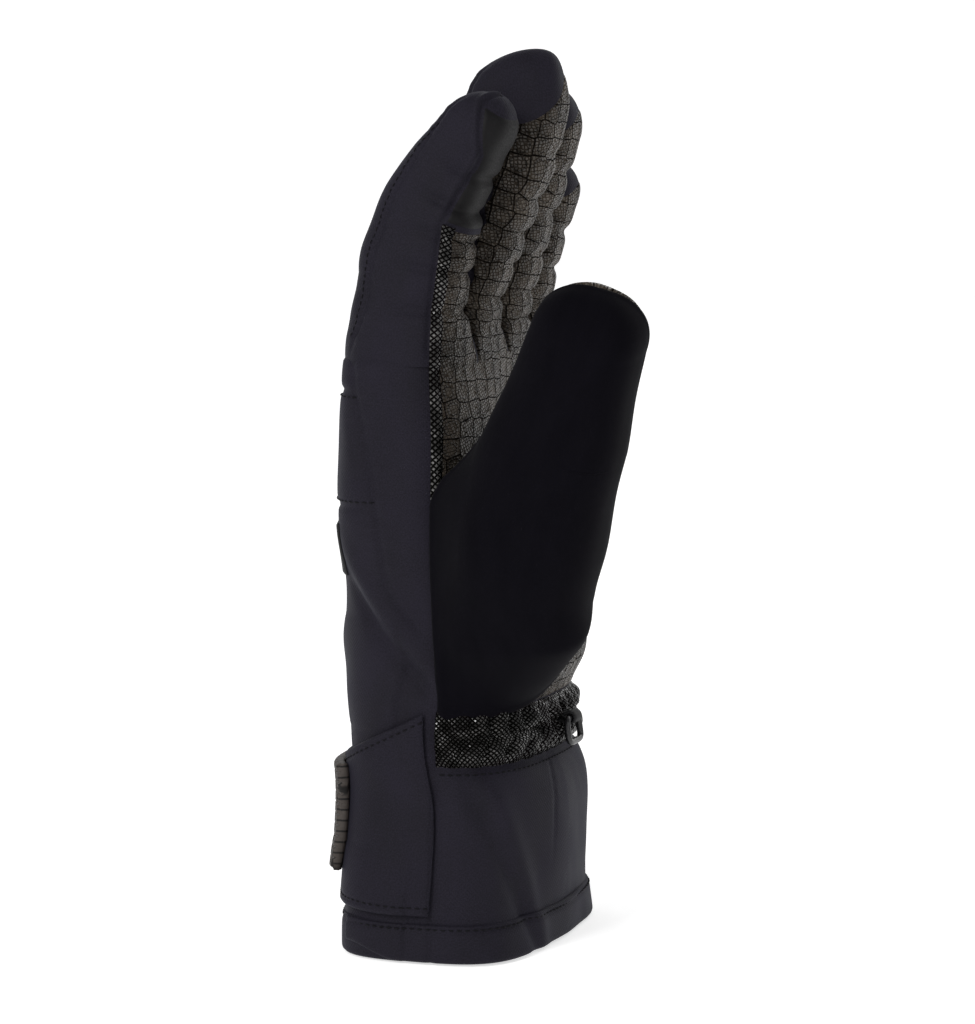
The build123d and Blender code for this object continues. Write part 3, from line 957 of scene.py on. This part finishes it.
def make_finger(name):
    skin, length = fingers[name], FINGERS[name]["length"]
    cut, end = split_station(name), PALM_ENDS[name]
    dome = skin.v[skin.v > length]
    slanted_end = end[0] + (end[1] - end[0]) * smooth(1, 0.35, np.linspace(0, 1, PALM_COLUMNS))
    segments = (
        ("base", np.linspace(0, cut, 48), -0.5, cut, cut, cut, min(cut, length)),
        ("tip", np.concatenate([np.linspace(cut, length, 40), dome]), cut, end[1], slanted_end,
         end[0] - 1.5, length),
    )
    for segment, (part, stations, low, high, palm_end, palm_high, back_high) in enumerate(segments):
        shell = tube_piece(f"{name}_{part}_shell", skin, stations, SOFTSHELL)
        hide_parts(f"{name}_{part}_back", f"{name}_{part}_sides", f"{name}_{part}_liner")
        grid = strip_grid(name, low, high, palm_end, 90)
        palm = patch_piece(f"{name}_{part}_palm_leather", skin, *grid, LEATHER, 0.35, ends=(0, segment))
        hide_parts(f"{name}_{part}_palm")
        pieces = [shell, palm]
        if name == "index":
            v = np.linspace(low, high, 90)
            edge = np.interp(v, *EDGES[name][:2])
            pieces.append(seam_strip(f"index_{part}_seam_strip", skin, v, edge))
        if name == "index" and part == "tip":
            top = length + 12
            grid = strip_grid(name, end[0], top, top, 50)
            touch = patch_piece("index_touch_patch", skin, *grid, SMOOTH_LEATHER, 0.3)
            pieces.append(touch)
        pieces.append(finger_stitches(name, part, max(low, 8), palm_high, back_high))
        for piece in pieces:
            bend_finger(piece)


for name in FINGERS:
    make_finger(name)


# ---------------------------------------------------------------- hand, palm and wrist

def attach(obj, slot, *replaced, body="hand"):
    """Hides the nodes a piece stands for and hangs it on the body it rides on. Its slot is not used."""
    if replaced:
        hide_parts(*replaced)
    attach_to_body(obj, body)
    return obj


shell_stations = np.concatenate([np.arange(4, 183, 1.2), [184, 186, 188]])
shell = tube_piece("hand_shell", hand, shell_stations, SOFTSHELL, step=1.5)
attach(shell, "softshell", "back_panel", "thumb_side_panel", "little_side_panel",
       "cuff_palm_panel", "cuff_back_gusset", "finger_root_gussets", "back_pad")


def palm_side(low, high, rows, columns):
    """A grid over the hand's palm side, from seam to seam."""
    v = np.linspace(low, high, rows)
    edges = at_height(PALM_SEAM_FAR, v) - 360, at_height(PALM_SEAM, v)
    return patch_grid(low, high, *edges, rows, columns)


palm = patch_piece("palm_leather_panel", hand, *palm_side(76.2, 184, 130, 130), LEATHER, 0.4, (1, 0))
attach(palm, "palm_leather", "palm_panel")

v = np.linspace(142, 182.6, 60)
attach(seam_strip("palm_seam_strip", hand, v, at_height(PALM_SEAM, v)), "palm_leather")

WRIST_LOW, WRIST_HIGH = 59.5, 77
GATHER_PITCH = 7.6


def ruched(v, u):
    """Puffs of leather drawn up on elastic between two seams."""
    share = np.clip((v - WRIST_LOW) / (WRIST_HIGH - WRIST_LOW), 0, 1)
    arc = hand.arc(v, wrapped(u))
    puff = np.sin(np.pi * share) ** 0.6
    row = (share > 0.5) * 1.0
    wander = 1.3 * np.sin(arc / 9 + 2 * row) + 1.1 * np.sin(v / 2.6 + row * 2) + row * 1.9
    folds = np.abs(np.sin(arc * np.pi / GATHER_PITCH + wander / 2)) ** 0.7
    pinch = bell(share - 0.5, 0.09)
    gathered = (0.2 + 2.9 * folds) * (1 - 0.7 * pinch)
    return puff * (gathered + 0.7 * (1 + waves(v, arc, 8, 13)))


# The ruching wears the darker copy of the leather, which is painted shade.
grid = palm_side(WRIST_LOW, WRIST_HIGH, 44, 260)
ruching = patch_piece("wrist_ruching", hand, *grid, GATHERED_SHADED, 0.5, relief=ruched)
attach(ruching, "palm_leather", "wrist_gather")

lining = tube_piece("cuff_lining", hand, np.arange(1.2, 100, 3.0), LINING, lift=-3.2, step=4)
attach(lining, "lining", "hand_liner")


# ---------------------------------------------------------------- thumb

def thumb_station(point):
    centres = thumb.rings.mean(axis=1)
    return thumb.v[np.argmin(np.linalg.norm(centres - np.array(point), axis=1))]


# The station where the thumb's pieces part
THUMB_CUT = thumb_station(Vector(THUMB_KNUCKLE) + THUMB_WAY * 16)


def bend_thumb(obj):
    """Bakes a piece's transform into its mesh."""
    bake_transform(obj)


# The thumb's two panels meet at these angles
WIPE_RIGHT, WIPE_LEFT = -34, 182
WIPE_COLUMNS, SECTION_COUNT = 100, 120
SHARE = np.linspace(0, 1, WIPE_COLUMNS)


def thumb_section(v, start, stop, anchor, side):
    """A panel across the thumb: round it from one angle towards another, then straight on."""
    angles = np.linspace(start, stop, SECTION_COUNT)
    ring = thumb.look_up(thumb.rings, np.full(SECTION_COUNT, v), angles)
    across, through = thumb_axes(np.interp(v, THUMB_RUN, THUMB_TURNS))
    height = thumb.rings[np.argmin(np.abs(thumb.v - v))].mean(axis=0)[2]
    free = smooth(140, 160, height)
    end = anchor(min(max(height, 70), 147)) * (1 - free) + ring[-1] * free
    last = SECTION_COUNT - 1
    if free <= 0.999:
        aside, ahead = (ring - end) @ across, -side * (ring - end) @ through
        leaving = np.arctan2(ahead, aside + 1e-6)
        leaving[:46] = -9
        last = np.argmax(leaving)
    return points_at(np.vstack([ring[:last + 1], end[None]]), SHARE)


def side_anchor(height):
    """Where the wipe panel ends on the hand's side."""
    return hand.at([height], at_height(PALM_SEAM, [height]) + 0.5, 0.4)[0]


def palm_angle(height):
    """Where the thumb's grip side ends on the palm."""
    return np.interp(height, [70, 97, 113, 147], [-14, -10, 2, 26])


def palm_anchor(height):
    return hand.at([height], palm_angle(height), 0.2)[0]


WIPE_SECTIONS = np.array([thumb_section(v, WIPE_RIGHT, WIPE_LEFT, side_anchor, 1)
                          for v in thumb.v])
GRIP_SECTIONS = np.array([thumb_section(v, WIPE_RIGHT, WIPE_LEFT - 360, palm_anchor, -1)
                          for v in thumb.v])
CENTRE_Z = thumb.rings.mean(axis=1)[:, 2]
WIPE_FOOT = 73.5 + 19 * (1 - SHARE) ** 4.5
GRIP_FOOT = 92.5 + 10 * SHARE
FOOT_EDGE = 2
ROOT_START = np.interp(WIPE_FOOT.min(), CENTRE_Z, thumb.v)


def thumb_points(sections, foot, edge_angle, stations):
    """Rows of a thumb panel. Its foot lies on the hand and swells into the thumb."""
    foot_v = np.interp(foot, CENTRE_Z, thumb.v)
    columns = np.arange(WIPE_COLUMNS)
    rows = []
    for v in stations:
        here = np.full(WIPE_COLUMNS, float(v))
        if v < THUMB_CUT:
            share = (v - ROOT_START) / (THUMB_CUT - ROOT_START)
            here = foot_v * (1 - share) + THUMB_CUT * share
        low, f = between(thumb.v, here)
        f = f[:, None]
        shape = sections[low, columns] * (1 - f) + sections[low + 1, columns] * f
        z = np.interp(here, thumb.v, CENTRE_Z)
        out = smooth(0, 24, z - foot)[:, None]
        z = np.minimum(z, 150)
        flat = hand.at(z, edge_angle(z) * SHARE + FOOT_EDGE * (1 - SHARE), 0.8)
        rows.append(flat * (1 - out) + shape * out)
    return np.array(rows)


def thumb_piece(name, points, stations, side, material, rim):
    """A thumb panel with tucked edges and a raised rim beside them; side is its outer side in y."""
    rows, columns = points.shape[:2]
    side_steps = np.linalg.norm(np.diff(points, axis=1), axis=2)
    across = np.concatenate([np.zeros((rows, 1)), np.cumsum(side_steps, axis=1)], axis=1)
    up_steps = np.linalg.norm(np.diff(points, axis=0), axis=2)
    run = np.concatenate([np.zeros((1, columns)), np.cumsum(up_steps, axis=0)])
    near = np.minimum(across, across[:, -1:] - across)
    foot = stations[0] < THUMB_CUT
    near = np.minimum(near, run if foot else run + FAR)
    normals = np.cross(np.gradient(points, axis=1), np.gradient(points, axis=0))
    normals /= np.maximum(np.linalg.norm(normals, axis=2, keepdims=True), 1e-9)
    if normals[..., 1].mean() * side < 0:
        normals = -normals
    height = rim * (0.4 - bell(near, 0.9) + 0.23 * bell(near - 2.2, 1.2))
    height += 0.35 * waves(run + stations[0], across, 42, 5)
    points = points + normals * height[..., None]
    along = np.repeat(np.array(stations)[:, None], columns, axis=1)
    uv = np.stack([across - across[:, -1:] / 2, along], axis=-1).reshape(-1, 2)
    return new_object(name, points.reshape(-1, 3), grid_faces(rows, columns), uv, material)


thumb_length = THUMB_RUN[-1]
dome_stations = thumb.v[thumb.v > thumb_length]
root_stations = np.linspace(ROOT_START, THUMB_CUT, 90)
tip_stations = np.concatenate([np.linspace(THUMB_CUT, thumb_length, 36), dome_stations])
for segment, part, stations, roots in (
    (0, "base", root_stations, (["thumb_root_wipe_panel"], ["thumb_root_gusset"])),
    (1, "tip", tip_stations, ([], [])),
):
    points = thumb_points(WIPE_SECTIONS, WIPE_FOOT, lambda z: at_height(PALM_SEAM, z), stations)
    panel = thumb_piece(f"thumb_{part}_wipe", points, stations, -1, SUEDE, rim=1.5)
    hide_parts(f"thumb_{part}_wipe_panel", f"thumb_{part}_liner", *roots[0])
    points = thumb_points(GRIP_SECTIONS, GRIP_FOOT, palm_angle, stations)
    grip = thumb_piece(f"thumb_{part}_grip", points, stations, 1, LEATHER, rim=0.7)
    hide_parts(f"thumb_{part}_grip_panel", *roots[1])
    for piece in (panel, grip):
        bend_thumb(piece)


# ---------------------------------------------------------------- cuff hem, strap and tab

HEM_SPLIT, HEM_SPLIT_FAR = 120, 240
HEM_TOP, HEM_SEAM = 12, 10.6


def hem_roll(v, u):
    """The groove of the hem's topstitch, and its soft waves."""
    return -0.5 * bell(v - HEM_SEAM, 0.9) + 0.25 * waves(v * 0.6, hand.arc(v, u), 22, 31)


def hem_piece(name, low_u, high_u, low_v, outer, columns, rise=0.0):
    """A folded band round part of the cuff's mouth; its low edge may rise towards one end."""
    u = np.linspace(low_u, high_u, columns)
    low_v = low_v + rise * smooth(high_u - 24, high_u - 4, u)
    grid = patch_grid(low_v, HEM_TOP, low_u, high_u, 26, columns)
    return slab_piece(name, hand, *grid, SOFTSHELL, outer, -1.5, relief=hem_roll, round_edge=1.4)


band = hem_piece("cuff_hem_band", HEM_SPLIT_FAR - 360, HEM_SPLIT, 0.3, 1.3, 300, rise=4.0)
attach(band, "softshell", "cuff_hem")
band = hem_piece("cuff_back_hem_band", HEM_SPLIT - 26, HEM_SPLIT_FAR + 3, 0.1, 0.5, 160)
attach(band, "softshell", "cuff_back_hem")

STRAP_U = np.linspace(at_height(PALM_SEAM, 45) - 0.2, 198, 170)
STRAP_DEPTH = -hand.at(np.full(len(STRAP_U), 50.0), STRAP_U)[:, 0]
STRAP_TOP = np.interp(STRAP_DEPTH, [-8, 26], [76.5, 60.0])
STRAP_LOW = np.interp(STRAP_DEPTH, [-8, 26], [14.5, 15.4])
STRAP_SEAM = 2.4


def strap_relief(v, u):
    """The strap's topstitched edges, its soft waves and how it rises from its sewn end."""
    top = np.interp(u, STRAP_U, STRAP_TOP)
    low = np.interp(u, STRAP_U, STRAP_LOW)
    arc = hand.arc(v, u)
    edge = -0.35 * bell(v - top + STRAP_SEAM, 0.6) - 0.35 * bell(v - low - STRAP_SEAM, 0.6)
    rise = smooth(-2, 5, arc - hand.arc(v, STRAP_U[0])) - 1
    return edge + 0.35 * waves(v * 0.6, arc, 30, 41) + 1.1 * rise


grid = patch_grid(STRAP_LOW, STRAP_TOP, STRAP_U[0], STRAP_U[-1], 80, len(STRAP_U))
strap = slab_piece("wrist_strap_band", hand, *grid, SOFTSHELL, 2.3, 0.9, strap_relief, 1.0)
attach(strap, "softshell", "wrist_strap", body="strap")


def blocks(v, u):
    """A moulded grid of low blocks."""
    a = np.mod(hand.arc(v, u), BLOCK_WIDTH) - BLOCK_WIDTH / 2
    b = np.mod(v - BLOCK_START, BLOCK_HEIGHT) - BLOCK_HEIGHT / 2
    return 0.9 * smooth(1.55, 1.3, np.abs(a)) * smooth(1.5, 1.25, np.abs(b))


def back_angles(height, *sides):
    """Angles on the hand's back where y has given values, each looked for between two angles."""
    return [hand.angle_where([height], 1, *side)[0] for side in sides]


CUFF_MIDDLE = 43

u = back_angles(CUFF_MIDDLE, (-40, 100, 178), (22, 182, 250))
grid = patch_grid(24.6, 58.2, *u, 100, 190)
tab = slab_piece("grip_tab", hand, *grid, RUBBER, 5.2, 2.35, blocks, 1.0)
attach(tab, "grip_rubber", "strap_grip_tab", body="strap")

u = back_angles(CUFF_MIDDLE, (-8, 160, 190), (12, 182, 220))
hooks = slab_piece("strap_hook_tape", hand, *patch_grid(28, 58, *u, 16, 24), WEBBING, 1.0, 0.55)
attach(hooks, "hook_tape", "strap_hook_patch", body="strap")

u = back_angles(CUFF_MIDDLE, (-30, 120, 178), (14, 182, 230))
loops = slab_piece("cuff_loop_tape", hand, *patch_grid(26, 60, *u, 20, 50), WEBBING, 0.55, -0.3)
attach(loops, "hook_tape", "strap_loop_patch")

u = back_angles(125, (-44, 100, 178), (-14, 120, 185))
grid = patch_grid(117, 133, *u, 24, 40)
patch = slab_piece("back_tab_patch", hand, *grid, BINDING, 0.8, -0.3, round_edge=0.7)
attach(patch, "softshell", "back_patch")


# ---------------------------------------------------------------- stitches on the hand, cuff and strap

class Raised:
    """A skin seen from a distance above it, so that stitches sit on what lies over it."""

    def __init__(self, skin, lift, relief=None):
        self.skin, self.lift, self.relief = skin, lift, relief

    def at(self, v, u, lift=0.0):
        extra = self.relief(v, u) if self.relief else 0
        return self.skin.at(v, u, self.lift + lift + extra)


def seam_row(skin, height, low, high, count):
    """A level row of stitches between two angles."""
    return skin, np.full(count, height), np.linspace(low, high, count)


wrist = at_height(PALM_SEAM_FAR, 57) - 358, at_height(PALM_SEAM, 57) - 1
rows = [seam_row(hand, WRIST_LOW - 1.9, *wrist, 300)]
for height in (PAD_LOW + PAD_STITCHES, PAD_SEAM - PAD_STITCHES):
    back = [at_height(table, height) for table in (BACK_SEAM, BACK_SEAM_FAR)]
    rows.append(seam_row(hand, height, *back, 160))
attach(stitch_piece("hand_stitches", rows, THREAD), "softshell")

strap_face = Raised(hand, 2.35, strap_relief)
rows = [
    (strap_face, STRAP_TOP - STRAP_SEAM, STRAP_U),
    (strap_face, STRAP_LOW + STRAP_SEAM, STRAP_U),
]
attach(stitch_piece("strap_stitches", rows, THREAD), "softshell", body="strap")

rows = [
    seam_row(Raised(hand, 0.9), HEM_SEAM, HEM_SPLIT_FAR - 358, HEM_SPLIT - 2, 300),
    seam_row(Raised(hand, 0.35), HEM_SEAM, HEM_SPLIT, HEM_SPLIT_FAR, 140),
]
attach(stitch_piece("hem_stitches", rows, THREAD), "softshell")

v = np.linspace(84, 181, 120)
rows = [
    (Raised(hand, 0.4), v, at_height(PALM_SEAM, v) - 2.2),
    (Raised(hand, 0.4), v, at_height(PALM_SEAM_FAR, v) + 2.2),
]
attach(stitch_piece("palm_stitches", rows, THREAD), "palm_leather")


# ---------------------------------------------------------------- pairing ring

EYE = np.array([34.8, 2.0, 69.5])
RING_WIDE, RING_LONG, RING_LEAN = 11.4, 7.6, math.radians(8)
RING_WIRE, RING_SIDES = 1.05, 12


def ring_path():
    """A rounded oblong that hangs from its top bar."""
    turn = np.linspace(0, 2 * np.pi, 72, endpoint=False)
    across = RING_WIDE / 2 * signed_power(np.cos(turn), 0.42)
    down = RING_LONG / 2 * (signed_power(np.sin(turn), 0.42) - 1)
    points = np.column_stack([-np.sin(RING_LEAN) * down, across, np.cos(RING_LEAN) * down])
    return even_loop(points, 90) + EYE


path = ring_path()
looped = np.vstack([path, path[:2]])
points, faces = tube_along(looped, RING_WIRE, RING_SIDES)
uv = np.column_stack([np.tile(np.arange(RING_SIDES) * 0.55, len(looped)),
                      np.repeat(np.arange(len(looped)) * 0.4, RING_SIDES)])
ring_object = new_object("pairing_ring_loop", points, faces, uv, PLASTIC)
attach(ring_object, "plastic", "pairing_ring", body="pairing_ring")

# The webbing's section round the ring's top bar, from one sewn end to the other
turn = np.radians(np.linspace(112, -112, 30))
bend = 1.75 * np.column_stack([np.cos(turn), np.sin(turn)])
line = np.vstack([[-5.0, 0.75], [-2.2, 0.95], bend, [-2.2, -0.95], [-5.0, -0.75]])
way = np.gradient(line, axis=0)
way /= np.linalg.norm(way, axis=1, keepdims=True)
side = np.column_stack([-way[:, 1], way[:, 0]])
band = np.vstack([line + side * 0.42, (line - side * 0.42)[::-1]])
middle_line = np.vstack([line, line[::-1]])
count = len(band)
points, uv = [], []
# Sections across the webbing: offset from its middle and the share of its thickness
WEBBING_ROWS = [(-3.0, 0.55), (-2.85, 1), (-1.0, 1), (1.0, 1), (2.85, 1), (3.0, 0.55)]
for offset, keep in WEBBING_ROWS:
    shape = middle_line + (band - middle_line) * keep
    section = np.column_stack([shape[:, 0], np.full(count, offset), shape[:, 1]])
    points.append(EYE + section)
    uv.append(np.column_stack([np.full(count, offset), np.arange(count) * 0.5]))
faces = grid_faces(len(WEBBING_ROWS), count, closed=True) + [tuple(range(count))[::-1]]
faces.append(tuple(range(count * (len(WEBBING_ROWS) - 1), count * len(WEBBING_ROWS))))
webbing = outward(new_object("ring_webbing_loop", np.vstack(points), faces, np.vstack(uv), WEBBING))
attach(webbing, "webbing", "ring_webbing")

# ---------------------------------------------------------------- floor, light and camera

AZIMUTH, ELEVATION, DISTANCE = math.radians(20), math.radians(6), 1.1
LENS = 122.8
FLOOR_LEVEL = -0.0004

# The floor's section in metres, away from the camera: flat, then curving up into a wall
FLOOR_END, FLOOR_BEND = 2.2, 0.6
profile = [(-4, 0), (FLOOR_END, 0)]
for angle in np.radians(range(9, 91, 9)):
    profile.append((FLOOR_END + FLOOR_BEND * math.sin(angle), FLOOR_BEND * (1 - math.cos(angle))))
profile.append((FLOOR_END + FLOOR_BEND, 4))
away = np.array([-math.sin(AZIMUTH), math.cos(AZIMUTH)])
aside = np.array([away[1], -away[0]])
points = [(*(away * s + aside * t), z + FLOOR_LEVEL) for t in (-6, 6) for s, z in profile]
points = np.array(points) / MM
count = len(profile)
faces = [(k, k + 1, k + 1 + count, k + count) for k in range(count - 1)]
floor = new_object("floor", points, faces, points[:, :2], FLOOR, smooth_faces=False)

world = bpy.data.worlds.new("studio")
world.use_nodes = True
backdrop = world.node_tree.nodes["Background"]
backdrop.inputs["Color"].default_value = (1, 1, 1, 1)
backdrop.inputs["Strength"].default_value = 0.26
bpy.context.scene.world = world
bpy.context.scene.view_settings.view_transform = "Standard"


def area_light(name, place, target, size, power):
    data = bpy.data.lights.new(name, "AREA")
    data.shape = "SQUARE"
    data.size = size
    data.energy = power
    light = bpy.data.objects.new(name, data)
    light.location = place
    light.rotation_euler = (Vector(target) - Vector(place)).to_track_quat("-Z", "Y").to_euler()
    bpy.context.scene.collection.objects.link(light)


area_light("key", (-0.5, -1.4, 1.1), (0, 0, 0.14), 0.6, 17)
area_light("fill", (1.5, -0.9, 0.7), (0, 0, 0.14), 0.8, 5)
area_light("rim", (0.5, 1.2, 1.1), (0, 0, 0.16), 0.8, 4)

TARGET = Vector((0.0064, 0.0023, 0.133))
level = math.cos(ELEVATION)
direction = Vector((math.sin(AZIMUTH) * level, -math.cos(AZIMUTH) * level, math.sin(ELEVATION)))
camera_data = bpy.data.cameras.new("camera")
camera_data.lens = LENS
camera_data.sensor_width = 36
camera_data.clip_start = 0.01
camera = bpy.data.objects.new("camera", camera_data)
camera.location = TARGET + direction * DISTANCE
camera.rotation_euler = (-direction).to_track_quat("-Z", "Y").to_euler()
bpy.context.scene.collection.objects.link(camera)
bpy.context.scene.camera = camera

bpy.context.view_layer.update()
